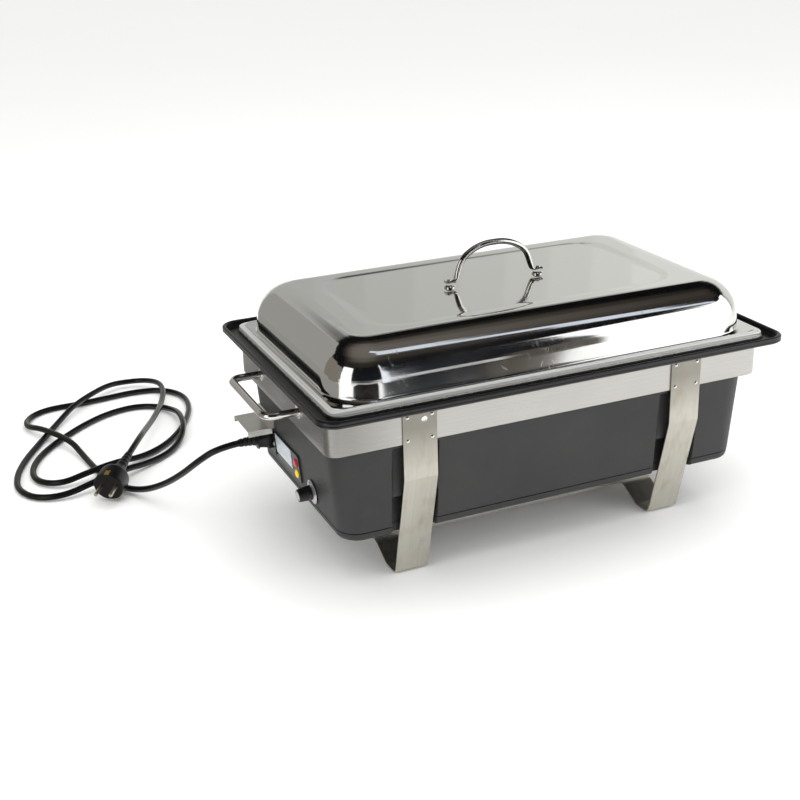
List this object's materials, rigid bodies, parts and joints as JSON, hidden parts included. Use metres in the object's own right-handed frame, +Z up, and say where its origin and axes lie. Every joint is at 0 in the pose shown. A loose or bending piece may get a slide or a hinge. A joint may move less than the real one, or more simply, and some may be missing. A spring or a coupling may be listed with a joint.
{
  "type": "electric buffet server",
  "caption": "Electric buffet server: a lidded food pan in a heated water basin, on a steel band and strap legs, with side handles, an end thermostat dial, pilot lamps and a plug-in mains lead.",
  "frame": {"origin": "on the table, under the middle of the body, measured without the lead", "axes": "+X along the pan, away from the control end; +Z up; the thermostat dial is on the -Y half of the -X end and the mains inlet on its +Y half"},
  "size_m": [0.8421, 0.7743, 0.3293],
  "materials": {
    "polished_steel": "mirror polished stainless steel",
    "brushed_steel": "brushed stainless steel",
    "drawn_steel": "satin, deep drawn",
    "rim_black": "satin black moulding",
    "housing_black": "fine-grained black polypropylene",
    "pad_rubber": "matt",
    "facia": "satin black",
    "plate": "blank satin plate",
    "lamp_red": "clear tinted lens",
    "lamp_amber": "clear tinted lens",
    "dial_silver": "satin",
    "dial_black": "satin",
    "shaft_steel": "turned",
    "thermostat_resin": "pale phenolic resin",
    "terminal_nylon": "natural nylon",
    "inlet_black": "black moulding",
    "element_sheath": "heat darkened sheath",
    "clamp_steel": "plain",
    "spreader_aluminium": "rolled sheet",
    "bulb_copper": "copper bulb and capillary",
    "cutout_case": "small metal case",
    "wire_sleeve": "woven glass sleeve",
    "cord_rubber": "black, slightly glossy",
    "plug_metal": "nickelled brass"
  },
  "bodies": {
    "server": {"base_cover": "housing_black", "base_pads": "pad_rubber", "base_screws": "brushed_steel", "connector_relief": "cord_rubber", "cord_connector": "cord_rubber", "element_clamps": "clamp_steel", "element_wires": "wire_sleeve", "frame_band": "brushed_steel", "heat_spreader": "spreader_aluminium", "heating_element": "element_sheath", "heating_lamp": "lamp_amber", "hood_rivets": "polished_steel", "inlet_hood": "polished_steel", "inlet_screws": "brushed_steel", "leg_rivets": "brushed_steel", "leg_strap_left": "brushed_steel", "leg_strap_right": "brushed_steel", "mains_inlet": "inlet_black", "outer_housing": "housing_black", "panel_facia": "facia", "plug_body": "cord_rubber", "plug_earth_clips": "plug_metal", "plug_pins": "plug_metal", "plug_relief": "cord_rubber", "power_cord": "cord_rubber", "power_lamp": "lamp_red", "rating_plate": "plate", "rim_collar": "rim_black", "sensor_bulb": "bulb_copper", "side_handle_left": "polished_steel", "side_handle_nuts": "polished_steel", "side_handle_right": "polished_steel", "side_handle_washers": "polished_steel", "supply_wires": "wire_sleeve", "terminal_block": "terminal_nylon", "thermal_cutout": "cutout_case", "thermostat_body": "thermostat_resin", "tie_tray": "brushed_steel", "tray_screws": "brushed_steel", "water_basin": "drawn_steel"},
    "pan": {"food_pan": "drawn_steel"},
    "lid": {"lid": "polished_steel", "lid_handle": "polished_steel", "lid_handle_bosses": "polished_steel"},
    "dial": {"thermostat_shaft": "shaft_steel", "dial_skirt": "dial_silver", "thermostat_knob": "dial_black", "knob_cap": "dial_silver"}
  },
  "joints": [
    {"name": "pan_lift", "type": "slide", "parent": "server", "child": "pan", "axis": [0, 0, 1], "range_m": [0, 0.09]},
    {"name": "lid_lift", "type": "slide", "parent": "pan", "child": "lid", "axis": [0, 0, 1], "range_m": [0, 0.15]},
    {"name": "dial_turn", "type": "hinge", "parent": "server", "child": "dial", "pos_m": [-0.25121, -0.052, 0.0885], "axis": [0.9968, 0, 0.0802], "range_deg": [0, 270]}
  ]
}
